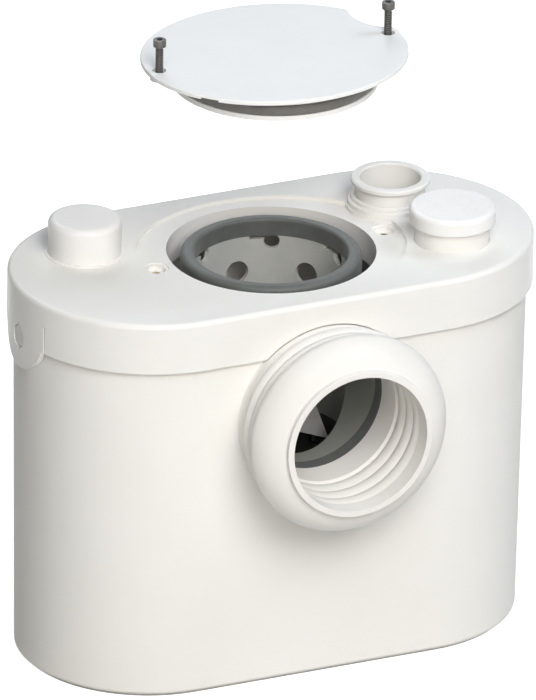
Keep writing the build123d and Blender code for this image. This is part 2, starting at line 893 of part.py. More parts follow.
def make_motor_can():
    body = rod(can_radius, can_base_z, can_top_z)
    body += rod(can_flange_radius, can_top_z - can_flange, can_top_z)
    body -= rod(can_radius - can_wall, can_base_z + can_plate, can_top_z + overrun)
    boss = bush_radius + bush_boss_wall
    body += rod(boss, can_base_z, can_base_z + can_plate + bush_length)
    body -= rod(bush_radius, can_base_z - overrun, can_base_z + can_plate + bush_length + overrun)
    for x, y in motor_bolt_places():
        body -= rod(motor_bolt_radius + run_gap, can_base_z, can_top_z + overrun, x, y)
    return body


def make_motor_cover():
    body = rod(can_flange_radius, can_top_z, bowl_base_z)
    boss = bush_radius + bush_boss_wall
    body += rod(boss, can_top_z - bush_length, can_top_z)
    body -= rod(bush_radius, can_top_z - bush_length - overrun, bowl_base_z + overrun)
    for x, y in motor_bolt_places():
        body -= rod(motor_bolt_radius + run_gap, can_top_z - overrun, bowl_base_z + overrun, x, y)
    return body


def motor_bolt_places():
    step = full_turn / motor_bolt_count
    return [polar(motor_bolt_circle_radius, (k + 0.5) * step) for k in range(motor_bolt_count)]


def make_motor_bolts():
    bolts = []
    low = can_top_z - can_flange - motor_bolt_tail
    for x, y in motor_bolt_places():
        shank = rod(motor_bolt_radius, low, bowl_base_z, x, y)
        head = rod(motor_bolt_head, bowl_base_z, bowl_base_z + motor_bolt_head_high, x, y)
        bolts.append(shank + head)
    return Compound(bolts)


def make_motor_bearings():
    inner = shaft_radius + run_gap
    lower_z = can_base_z + can_plate
    lower = ring(bush_radius, inner, lower_z, lower_z + bush_length)
    upper = ring(bush_radius, inner, can_top_z - bush_length, can_top_z)
    return Compound([lower, upper])


def make_shaft_seals():
    inner = shaft_radius + run_gap
    lower = ring(bush_radius, inner, can_base_z, can_base_z + can_plate)
    upper = ring(bush_radius, inner, bowl_base_z, bowl_base_z + bowl_floor + bowl_hub_rise)
    return Compound([lower, upper])


def stator_slots(gap, low, high):
    middle = stator_bore + tooth_tip + slot_deep / 2
    slot = Box(slot_deep - 2 * gap, slot_wide - 2 * gap, high - low, align=base_align)
    return around(Pos(middle, 0, low) * slot, slot_count)


def make_stator_core():
    low = stator_mid_z - stator_length / 2
    high = stator_mid_z + stator_length / 2
    body = ring(can_radius - can_wall, stator_bore, low, high)
    body -= stator_slots(0, low - overrun, high + overrun)
    return body


def make_stator_windings():
    low = stator_mid_z - stator_length / 2
    high = stator_mid_z + stator_length / 2
    inner = stator_bore + tooth_tip + winding_gap
    outer = inner + slot_deep - 2 * winding_gap
    coil = ring(outer, inner, 0, winding_overhang)
    coil = fillet(coil.edges().group_by(Axis.Z)[-1], winding_round)
    body = Pos(0, 0, high) * coil
    body += Pos(0, 0, low) * Rot(half_turn, 0, 0) * coil
    for bar in stator_slots(winding_gap, low, high):
        body += bar
    return body


def make_rotor_core():
    low = stator_mid_z - stator_length / 2 - rotor_extra
    high = stator_mid_z + stator_length / 2 + rotor_extra
    outer = stator_bore - air_gap
    body = ring(outer, shaft_radius, low, high)
    body += ring(outer, outer - rotor_ring_wide, low - rotor_ring_high, low)
    body += ring(outer, outer - rotor_ring_wide, high, high + rotor_ring_high)
    return body


def make_drive_shaft():
    low = volute_cavity_z + impeller_clear
    body = rod(shaft_radius, low, shaft_top_z)
    return chamfer(body.edges().group_by(Axis.Z)[0], small_round)


def make_macerator_blade():
    hub_low = blade_root_z - blade_cap_height
    body = rod(blade_hub_radius, hub_low, blade_top_z)
    body = fillet(body.edges().group_by(Axis.Z)[-1], small_round)
    points = [(0, blade_root_z), (blade_tip_radius, blade_tip_z), (blade_shoulder_radius, blade_top_z),
              (0, blade_top_z)]
    fin = Plane.XZ * make_face(Polyline(*points, close=True))
    plate = extrude(fin, blade_thick / 2, both=True)
    for blade in around(plate, blade_count, blade_angle):
        body += blade
    body -= rod(shaft_radius, bowl_base_z, shaft_top_z)
    return body


def make_riser_hose():
    outer = pipe_outer + hose_wall
    tube = along_x(outer, hose_low_x, hose_high_x, spigot_y, spout_z)
    return tube - along_x(pipe_outer, hose_low_x - overrun, hose_high_x + overrun, spigot_y, spout_z)


def make_hose_clips():
    inner = pipe_outer + hose_wall
    outer = inner + clip_thick
    margin = clip_wide / 2
    clips = []
    for start in (hose_low_x + margin, hose_high_x - margin - clip_wide):
        band = along_x(outer, start, start + clip_wide, spigot_y, spout_z)
        lug = Pos(start + clip_wide / 2, spigot_y, spout_z + inner) * Box(
            clip_wide, clip_lug_long, clip_lug_high, align=base_align)
        bore = along_x(inner, start - overrun, start + clip_wide + overrun, spigot_y, spout_z)
        clips.append(band + lug - bore)
    return Compound(clips)


def make_discharge_riser():
    start_x = spout_reach + small_round
    bend_x = spigot_x - elbow_radius
    top_z = valve_seat_z - valve_floor - small_round
    lower = along_x(pipe_outer, start_x, bend_x, spigot_y, spout_z)
    lower_bore = along_x(spout_bore, start_x, bend_x, spigot_y, spout_z)
    pivot = Axis((bend_x, spigot_y, spout_z + elbow_radius), (0, -1, 0))
    section = Plane.YZ.offset(bend_x) * Pos(spigot_y, spout_z) * (Circle(pipe_outer) - Circle(spout_bore))
    elbow = revolve(section, axis=pivot, revolution_arc=quarter_turn)
    upright = ring(pipe_outer, spout_bore, spout_z + elbow_radius, top_z, spigot_x, spigot_y)
    return (lower - lower_bore) + elbow + upright


def make_valve_body():
    outer = spigot_bore + spigot_wall + valve_wall
    room = spigot_bore
    seat = valve_seat_z
    tail_outer = pipe_outer + valve_wall
    socket_z = seat + valve_room - valve_socket
    points = [(pipe_outer, seat - valve_floor - valve_tail), (tail_outer, seat - valve_floor - valve_tail),
              (tail_outer, seat - 2 * valve_floor), (outer, seat + valve_floor),
              (outer, socket_z + valve_socket), (spigot_bore + spigot_wall, socket_z + valve_socket),
              (spigot_bore + spigot_wall, socket_z), (room, socket_z), (room, seat),
              (valve_seat_bore, seat), (valve_seat_bore, seat - valve_floor),
              (pipe_outer, seat - valve_floor)]
    body = turned_points(points, spigot_x, spigot_y)
    x, z = flap_hinge()
    lug_y = flap_knuckle_long / 2 + lug_gap + lug_thick / 2
    for side in (-1, 1):
        y = spigot_y + side * lug_y
        lug = Pos(x, y, seat) * Box(2 * flap_knuckle, lug_thick, z - seat + flap_knuckle, align=base_align)
        body += lug
    body -= along_y(flap_pin_radius, spigot_y - lug_y - lug_thick, spigot_y + lug_y + lug_thick, x, z)
    return body


def flap_hinge():
    x = spigot_x - flap_radius - flap_hinge_gap
    z = valve_seat_z + flap_lift + flap_knuckle
    return x, z


def make_valve_pin():
    x, z = flap_hinge()
    reach = flap_knuckle_long / 2 + lug_gap + lug_thick
    return along_y(flap_pin_radius, spigot_y - reach, spigot_y + reach, x, z)


def make_discharge_flap():
    x, z = flap_hinge()
    low = valve_seat_z + flap_lift
    disc = rod(flap_radius, low, low + flap_thick, spigot_x, spigot_y)
    half = flap_knuckle_long / 2
    knuckle = along_y(flap_knuckle, spigot_y - half, spigot_y + half, x, z)
    arm_long = spigot_x - x
    arm = Box(arm_long, flap_knuckle_long, flap_thick, align=base_align)
    arm = Pos(x + arm_long / 2, spigot_y, low) * arm
    bore = along_y(flap_pin_radius + run_gap, spigot_y - 2 * half, spigot_y + 2 * half, x, z)
    return disc + knuckle + arm - bore


def make_discharge_spigot():
    outer = spigot_bore + spigot_wall
    low = lid_under_z - spigot_tail + small_round
    lip = outer + spigot_lip_wide
    flange = outer + spigot_flange_wide
    lip_low = spigot_top_z - spigot_lip_high
    points = [(spigot_bore, low), (outer, low), (outer, lid_under_z - spigot_flange),
              (flange, lid_under_z - spigot_flange), (flange, lid_under_z), (outer, lid_under_z),
              (outer, lip_low - small_round), (lip - small_round, lip_low), (lip, lip_low + small_round),
              (lip, spigot_top_z - small_round), (lip - small_round, spigot_top_z),
              (spigot_bore + small_round, spigot_top_z), (spigot_bore, spigot_top_z - small_round)]
    return turned_points(points, spigot_x, spigot_y)


def make_upper_flap_pin():
    x, z = upper_hinge()
    reach = flap_knuckle_long / 2 + lug_gap + lug_thick
    return along_y(flap_pin_radius, upper_y - reach, upper_y + reach, x, z)


def make_upper_inlet_flap():
    x, z = upper_hinge()
    radius = upper_bore + upper_flap_edge
    low = z - upper_flap_thick / 2
    disc = rod(radius, low, low + upper_flap_thick, upper_x, upper_y)
    half = flap_knuckle_long / 2
    knuckle = along_y(flap_knuckle, upper_y - half, upper_y + half, x, z)
    arm_long = upper_x - x
    arm = Pos(x + arm_long / 2, upper_y, low) * Box(
        arm_long, flap_knuckle_long, upper_flap_thick, align=base_align)
    bore = along_y(flap_pin_radius + run_gap, upper_y - 2 * half, upper_y + 2 * half, x, z)
    return disc + knuckle + arm - bore


def make_inlet_cap():
    plug = upper_bore - cap_plug_gap
    rim = upper_rim_z
    top = rim + cap_height
    inner = plug - cap_plug_wall
    groove_z = rim - cap_plug_deep / 2
    head = rod(cap_radius, rim, top)
    head = fillet(head.edges().group_by(Axis.Z)[-1], cap_round)
    body = head + rod(plug, rim - cap_plug_deep, rim)
    body -= rod(inner, rim - cap_plug_deep - overrun, top - cap_wall)
    groove = ring(plug + overrun, plug - cap_groove, groove_z, groove_z + cap_groove_high)
    body -= groove
    return Pos(upper_x, upper_y) * body


def make_inlet_cap_ring():
    plug = upper_bore - cap_plug_gap
    groove_z = upper_rim_z - cap_plug_deep / 2
    outer = upper_bore - cap_ring_stand
    inner = plug - cap_groove
    return ring(outer, inner, groove_z, groove_z + cap_groove_high, upper_x, upper_y)


def make_hatch_cover():
    plug = hatch_bore - plug_gap
    top = lid_top_z
    under = seated_cover_z
    plate = slab(cover_outline(), under, top)
    plate = fillet(plate.edges().group_by(Axis.Z)[-1], small_round)
    body = plate + ring(plug, plug - plug_wall, top - plug_depth, under)
    flange = hatch_bore - plug_flange_gap
    body += ring(flange, plug - plug_wall, top - plug_depth, top - plug_depth + plug_groove_low)
    groove_low = top - plug_depth + plug_groove_low
    body -= ring(plug + overrun, plug - plug_groove_deep, groove_low, groove_low + plug_groove_high)
    for x, y in screw_places():
        body += rod(sink_boss_radius(), under - sink_boss_deep(), under, x, y)
        body -= rod(screw_head + sink_gap, top - screw_head_high, top + overrun, x, y)
        body -= rod(screw_radius + sink_gap, under - sink_boss_deep() - overrun, top, x, y)
    body -= notch_at_rim()
    return Pos(0, 0, hatch_lift) * body


def notch_at_rim():
    angle = math.radians(cover_notch_angle)
    x = cover_half_x * math.cos(angle)
    y = cover_half_y * math.sin(angle)
    block = Box(2 * cover_notch, cover_notch, 2 * cover_notch_deep)
    return Pos(x, y, seated_cover_z) * Rot(0, 0, cover_notch_tilt_angle) * block


def make_hatch_ring():
    plug = hatch_bore - plug_gap
    low = lid_top_z - plug_depth + plug_groove_low
    outer = hatch_bore - ring_squeeze_gap
    band = ring(outer, plug - plug_groove_deep, low, low + plug_groove_high)
    rims = band.edges().filter_by(GeomType.CIRCLE).group_by(SortBy.RADIUS)[-1]
    return Pos(0, 0, hatch_lift) * fillet(rims, plug_gap)


def make_hatch_screw(x, y):
    top = lid_top_z + hatch_lift + screw_lift
    head = rod(screw_head, top - screw_head_high, top, x, y)
    shank = rod(screw_radius, top - screw_length, top - screw_head_high, x, y)
    tip = shank.edges().group_by(Axis.Z)[0]
    shank = chamfer(tip, small_round)
    key = extrude(RegularPolygon(screw_socket, screw_socket_sides), screw_socket_deep + overrun)
    key = Pos(x, y, top - screw_socket_deep) * key
    return head + shank - key


def make_screw_inserts():
    seat = seated_cover_z - sink_boss_deep() - sink_pocket_gap
    low = seat - insert_length
    sleeves = []
    for x, y in screw_places():
        sleeves.append(ring(insert_radius(), screw_radius + run_gap, low, seat, x, y))
    return Compound(sleeves)


def make_pressure_tube():
    outer = bell_bore + bell_wall
    inner_cup = cup_radius - cup_wall
    points = [(bell_bore, bell_low_z), (outer, bell_low_z), (outer, cup_low_z - cup_floor),
              (outer + cup_floor, cup_low_z), (cup_radius, cup_low_z), (cup_radius, membrane_low_z),
              (inner_cup, membrane_low_z), (inner_cup, cup_low_z + cup_floor),
              (bell_bore, cup_low_z + cup_floor)]
    return turned_points(points, dome_x, dome_y)


def make_pressure_membrane():
    low = membrane_low_z
    high = housing_low_z
    bead = plunger_disc + membrane_bead
    edges = [Polyline((0, low), (bead, low)),
             ThreePointArc((bead, low), (bead + membrane_bead, low - membrane_bead),
                           (bead + 2 * membrane_bead, low)),
             Polyline((bead + 2 * membrane_bead, low), (cup_radius, low), (cup_radius, high),
                      (bead + 2 * membrane_bead - membrane_thick / 2, high)),
             ThreePointArc((bead + 2 * membrane_bead - membrane_thick / 2, high),
                           (bead + membrane_bead, high - membrane_bead), (bead + membrane_thick / 2, high)),
             Polyline((bead + membrane_thick / 2, high), (0, high), (0, low))]
    return turned(make_face(edges), dome_x, dome_y)


def make_switch_housing():
    inner = cup_radius - cup_wall
    body = ring(cup_radius, inner, housing_low_z, lid_under_z, dome_x, dome_y)
    back_y = dome_y + switch_wide / 2
    wall_deep = inner - switch_wide / 2
    bridge_z = switch_low_z
    bridge = Pos(dome_x, back_y + bridge_thick / 2, bridge_z) * Box(
        2 * inner, bridge_thick, switch_high, align=base_align)
    body += bridge & rod(inner, housing_low_z, lid_under_z, dome_x, dome_y)
    return body


def switch_pivot():
    x = dome_x + lever_reach
    z = lever_low_z + lever_thick / 2
    return x, z


def make_microswitch():
    x, z = switch_pivot()
    right = x + lever_pin + lever_ear
    body = Pos(right - switch_long / 2, dome_y, switch_low_z) * Box(
        switch_long, switch_wide, switch_high, align=base_align)
    ear_y = switch_wide / 2 - lever_ear / 2
    for side in (-1, 1):
        ear_low = z - lever_pin - lever_ear
        ear = Pos(x, dome_y + side * ear_y, ear_low) * Box(
            2 * (lever_pin + lever_ear), lever_ear, switch_low_z - ear_low, align=base_align)
        body += ear
    hole_low = dome_y - switch_wide
    hole_high = dome_y + switch_wide
    body -= along_y(lever_pin + run_gap, hole_low, dome_y + switch_wide / 2, x, z)
    button_z = switch_low_z + switch_high / 2
    button_x = switch_button_x()
    body -= rod(switch_button_radius + run_gap, switch_low_z - overrun, button_z, button_x, dome_y)
    return body


def switch_button_x():
    x, z = switch_pivot()
    return x - switch_button_inset


def make_switch_button():
    low = lever_low_z + lever_thick + switch_gap
    high = switch_low_z + switch_high / 2 - membrane_thick
    body = rod(switch_button_radius, low, high, switch_button_x(), dome_y)
    return chamfer(body.edges().group_by(Axis.Z)[0], switch_button_edge)


def make_switch_lever():
    x, z = switch_pivot()
    long = lever_reach + plunger_radius / 2
    blade = Pos(x - long / 2, dome_y, lever_low_z) * Box(long, lever_wide, lever_thick, align=base_align)
    half = switch_wide / 2
    pin = along_y(lever_pin, dome_y - half, dome_y + half, x, z)
    return blade + pin


def make_membrane_plunger():
    body = rod(plunger_disc, plunger_low_z, plunger_low_z + plunger_disc_high, dome_x, dome_y)
    body += rod(plunger_radius, plunger_low_z, plunger_top_z, dome_x, dome_y)
    return fillet(body.edges().group_by(Axis.Z)[-1], small_round)


def make_vent_filter():
    top = lid_top_z + dome_rise - dome_wall
    radius = dome_radius - dome_wall - seat_gap
    body = rod(radius, top - filter_height, top, dome_x, dome_y)
    return chamfer(body.edges().group_by(Axis.Z)[0], small_round)


def make_electrics_box():
    low = lid_under_z - box_deep
    outline = RectangleRounded(box_long, box_wide, box_round)
    room = RectangleRounded(box_long - 2 * box_wall, box_wide - 2 * box_wall, box_round - box_wall)
    body = slab(outline, low, lid_under_z) - slab(room, low + box_wall, lid_under_z + overrun)
    return Pos(box_x, box_y) * body


def make_capacitor():
    low = lid_under_z - box_deep + box_wall
    body = rod(capacitor_radius, low, low + capacitor_height, capacitor_x, box_y)
    return fillet(body.edges().group_by(Axis.Z)[-1], small_round)


def make_terminal_block():
    low = lid_under_z - box_deep + box_wall
    body = Box(terminal_long, terminal_wide, terminal_high, align=base_align)
    pitch = terminal_wide / terminal_ways
    for k in range(terminal_ways):
        y = (k - (terminal_ways - 1) / 2) * pitch
        body -= along_x(terminal_hole, -terminal_long, terminal_long, y, terminal_high / 2)
        body -= rod(terminal_hole, terminal_high / 2, terminal_high + overrun, 0, y)
    return Pos(terminal_x, box_y, low) * body


def make_cable_gland():
    inner_y = tank_rim_radius - tank_wall - gland_nut_thick
    outer_y = lid_radius
    body = along_y(gland_radius, inner_y, outer_y, gland_x, gland_z)
    nut = RegularPolygon(gland_nut, gland_sides)
    solid_nut = extrude(nut, gland_nut_thick)
    body += Pos(gland_x, outer_y + gland_nut_thick, gland_z) * Rot(quarter_turn, 0, 0) * solid_nut
    dome_end = outer_y + gland_nut_thick + gland_dome
    dome = along_y(gland_radius, outer_y + gland_nut_thick, dome_end, gland_x, gland_z)
    body += fillet(dome.edges().group_by(Axis.Y)[-1], small_round)
    body -= along_y(gland_bore, inner_y - overrun, dome_end + overrun, gland_x, gland_z)
    return body


pieces = {
    "base_mat": make_base_mat(),
    "tank": make_tank(),
    "lid": make_lid(),
    "vent_dome": make_vent_dome(),
    "spigot_collar": make_spigot_collar(),
    "upper_neck": make_upper_neck(),
    "lid_seal": make_lid_seal(),
    "inlet_sleeve": make_inlet_sleeve(),
    "port_gasket": make_port_gasket(),
    "basket_chamber": make_chamber(),
    "basket_collar": make_basket_collar(),
    "macerator_bowl": make_macerator_bowl(),
    "bowl_screws": make_bowl_screws(),
    "pump_volute": make_volute(),
    "impeller": make_impeller(),
    "motor_can": make_motor_can(),
    "motor_cover": make_motor_cover(),
    "motor_bolts": make_motor_bolts(),
    "motor_bearings": make_motor_bearings(),
    "shaft_seals": make_shaft_seals(),
    "stator_core": make_stator_core(),
    "stator_windings": make_stator_windings(),
    "rotor_core": make_rotor_core(),
    "drive_shaft": make_drive_shaft(),
    "macerator_blade": make_macerator_blade(),
    "riser_hose": make_riser_hose(),
    "hose_clips": make_hose_clips(),
    "discharge_riser": make_discharge_riser(),
    "valve_body": make_valve_body(),
    "valve_pin": make_valve_pin(),
    "discharge_flap": make_discharge_flap(),
    "discharge_spigot": make_discharge_spigot(),
    "upper_flap_pin": make_upper_flap_pin(),
    "upper_inlet_flap": make_upper_inlet_flap(),
    "inlet_cap": make_inlet_cap(),
    "inlet_cap_ring": make_inlet_cap_ring(),
    "hatch_cover": make_hatch_cover(),
    "hatch_ring": make_hatch_ring(),
    "hatch_screw_left": make_hatch_screw(-screw_x, screw_y),
    "hatch_screw_right": make_hatch_screw(screw_x, screw_y),
    "screw_inserts": make_screw_inserts(),
    "pressure_tube": make_pressure_tube(),
    "pressure_membrane": make_pressure_membrane(),
    "switch_housing": make_switch_housing(),
    "microswitch": make_microswitch(),
    "switch_button": make_switch_button(),
    "switch_lever": make_switch_lever(),
    "membrane_plunger": make_membrane_plunger(),
    "vent_filter": make_vent_filter(),
    "electrics_box": make_electrics_box(),
    "capacitor": make_capacitor(),
    "terminal_block": make_terminal_block(),
    "cable_gland": make_cable_gland(),
}

for name, shape in pieces.items():
    export_step(shape, os.path.join("parts", name + ".step"))
    print(name, round(shape.volume, 1))
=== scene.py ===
import json
import math

import bmesh
import bpy
from mathutils import Matrix, Vector

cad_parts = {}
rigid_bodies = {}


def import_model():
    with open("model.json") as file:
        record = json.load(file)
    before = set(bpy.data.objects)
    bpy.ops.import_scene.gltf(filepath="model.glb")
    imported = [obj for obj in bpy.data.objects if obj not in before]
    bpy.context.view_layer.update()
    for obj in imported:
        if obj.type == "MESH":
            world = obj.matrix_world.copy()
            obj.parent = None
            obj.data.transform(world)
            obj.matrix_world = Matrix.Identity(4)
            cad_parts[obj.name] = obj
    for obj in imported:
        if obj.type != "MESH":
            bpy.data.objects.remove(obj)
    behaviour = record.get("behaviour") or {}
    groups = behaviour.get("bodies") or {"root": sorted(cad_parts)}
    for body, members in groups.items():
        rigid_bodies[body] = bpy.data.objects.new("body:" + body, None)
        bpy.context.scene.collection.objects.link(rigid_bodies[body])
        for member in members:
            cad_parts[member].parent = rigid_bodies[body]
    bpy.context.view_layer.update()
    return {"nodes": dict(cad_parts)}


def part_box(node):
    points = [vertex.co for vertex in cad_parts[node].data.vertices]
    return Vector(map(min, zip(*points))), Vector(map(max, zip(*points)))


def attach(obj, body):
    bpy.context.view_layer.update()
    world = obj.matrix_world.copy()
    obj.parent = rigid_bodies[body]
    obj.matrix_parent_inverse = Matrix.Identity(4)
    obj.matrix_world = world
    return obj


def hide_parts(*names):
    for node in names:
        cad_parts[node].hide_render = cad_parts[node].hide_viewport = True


for leftover in list(bpy.data.objects):  # the start-up cube, lamp and camera
    bpy.data.objects.remove(leftover)

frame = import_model()
cadNodes = frame["nodes"]
mm = 0.001
print("frame loaded:", len(cadNodes), "nodes")


# Small helpers: colours, node trees and lathe work

def fromScreen(red, green, blue):
    # a colour read from a screen, 0 to 255, as the linear value that a shader wants
    shares = [channel / 255 for channel in (red, green, blue)]
    linear = [s / 12.92 if s <= 0.04045 else ((s + 0.055) / 1.055) ** 2.4 for s in shares]
    return (*linear, 1)


def addNode(tree, kind, x, y, **settings):
    node = tree.nodes.new(kind)
    node.location = (x, y)
    for key, value in settings.items():
        setattr(node, key, value)
    return node


def feed(node, **values):
    # unlinked inputs by name; an underscore stands for a space
    for key, value in values.items():
        node.inputs[key.replace("_", " ")].default_value = value


texture = dict(middleLow=0.3, middleHigh=0.7, mottleDetail=3.0, mottleRoughness=0.55,
               grainDetail=2.0, grainRoughness=0.5, bandsPerGrain=20)


def spread(tree, source, low, high, x, y):
    # a texture's middle range stretched to low..high
    ranged = addNode(tree, "ShaderNodeMapRange", x, y)
    feed(ranged, From_Min=texture["middleLow"], From_Max=texture["middleHigh"], To_Min=low, To_Max=high)
    tree.links.new(source, ranged.inputs["Value"])
    return ranged.outputs["Result"]


def paintShadeBelow(tree, position, tone, look):
    # painted shade: the colour blended to a darker one from one height down to another, standing in for
    # shade low down on a wall
    parts = addNode(tree, "ShaderNodeSeparateXYZ", -650, 600)
    tree.links.new(position, parts.inputs["Vector"])
    share = addNode(tree, "ShaderNodeMapRange", -350, 600)
    feed(share, From_Min=look["lowFrom"], From_Max=look["lowTo"], To_Min=0.0, To_Max=1.0)
    tree.links.new(parts.outputs["Z"], share.inputs["Value"])
    blend = addNode(tree, "ShaderNodeMix", 450, 500, data_type="RGBA")
    tree.links.new(share.outputs["Result"], blend.inputs["Factor"])
    tree.links.new(tone, blend.inputs["A"])
    blend.inputs["B"].default_value = look["low"]
    return blend.outputs["Result"]


def makeFinish(name, look):
    # one finish: two near colours mottled together, uneven gloss and a moulded or worked relief
    material = bpy.data.materials.new(name)
    material.use_nodes = True
    tree = material.node_tree
    tree.nodes.clear()
    out = addNode(tree, "ShaderNodeOutputMaterial", 900, 0)
    shader = addNode(tree, "ShaderNodeBsdfPrincipled", 600, 0)
    tree.links.new(shader.outputs["BSDF"], out.inputs["Surface"])
    place = addNode(tree, "ShaderNodeTexCoord", -1100, 0)
    turn = addNode(tree, "ShaderNodeMapping", -900, 0)
    feed(turn, Scale=look.get("stretch", (1, 1, 1)))
    tree.links.new(place.outputs["Object"], turn.inputs["Vector"])

    mottle = addNode(tree, "ShaderNodeTexNoise", -650, 300)
    feed(mottle, Scale=1 / look["mottleSize"], Detail=texture["mottleDetail"],
         Roughness=texture["mottleRoughness"])
    tree.links.new(place.outputs["Object"], mottle.inputs["Vector"])
    blend = addNode(tree, "ShaderNodeMix", 300, 300, data_type="RGBA")
    blend.inputs["A"].default_value = look["colour"]
    blend.inputs["B"].default_value = look["mottle"]
    tree.links.new(spread(tree, mottle.outputs["Fac"], 0.0, 1.0, -350, 300), blend.inputs["Factor"])
    tone = blend.outputs["Result"]
    # painted shade: finishes with a low colour turn darker towards the bottom
    if "low" in look:
        tone = paintShadeBelow(tree, place.outputs["Object"], tone, look)
    tree.links.new(tone, shader.inputs["Base Color"])

    if look.get("pattern") == "bands":
        relief = addNode(tree, "ShaderNodeTexWave", -650, -50, bands_direction=look.get("across", "Z"))
        feed(relief, Scale=1 / look["grainSize"] / texture["bandsPerGrain"],
             Distortion=look.get("waver", 0.4), Detail=texture["grainDetail"])
        height = relief.outputs["Fac"]
    elif look.get("pattern") == "cells":
        relief = addNode(tree, "ShaderNodeTexVoronoi", -650, -50)
        feed(relief, Scale=1 / look["grainSize"])
        height = relief.outputs["Distance"]
    else:
        relief = addNode(tree, "ShaderNodeTexNoise", -650, -50)
        feed(relief, Scale=1 / look["grainSize"], Detail=texture["grainDetail"],
             Roughness=texture["grainRoughness"])
        height = relief.outputs["Fac"]
    tree.links.new(turn.outputs["Vector"], relief.inputs["Vector"])
    low, high = look["roughness"]
    tree.links.new(spread(tree, height, low, high, -350, -50), shader.inputs["Roughness"])
    bump = addNode(tree, "ShaderNodeBump", 300, -250)
    feed(bump, Strength=look.get("relief", 0.3), Distance=look.get("depth", 0.02) * mm)
    tree.links.new(height, bump.inputs["Height"])
    tree.links.new(bump.outputs["Normal"], shader.inputs["Normal"])

    feed(shader, Metallic=look.get("metallic", 0.0), IOR=look.get("ior", 1.46))
    feed(shader, Specular_IOR_Level=look.get("specular", 0.5), Coat_Weight=look.get("coat", 0.0))
    feed(shader, Coat_Roughness=look.get("coatRoughness", 0.2), Sheen_Weight=look.get("sheen", 0.0))
    return material


# Finishes, named as the record's material slots are, apart from the mat's pale rubber

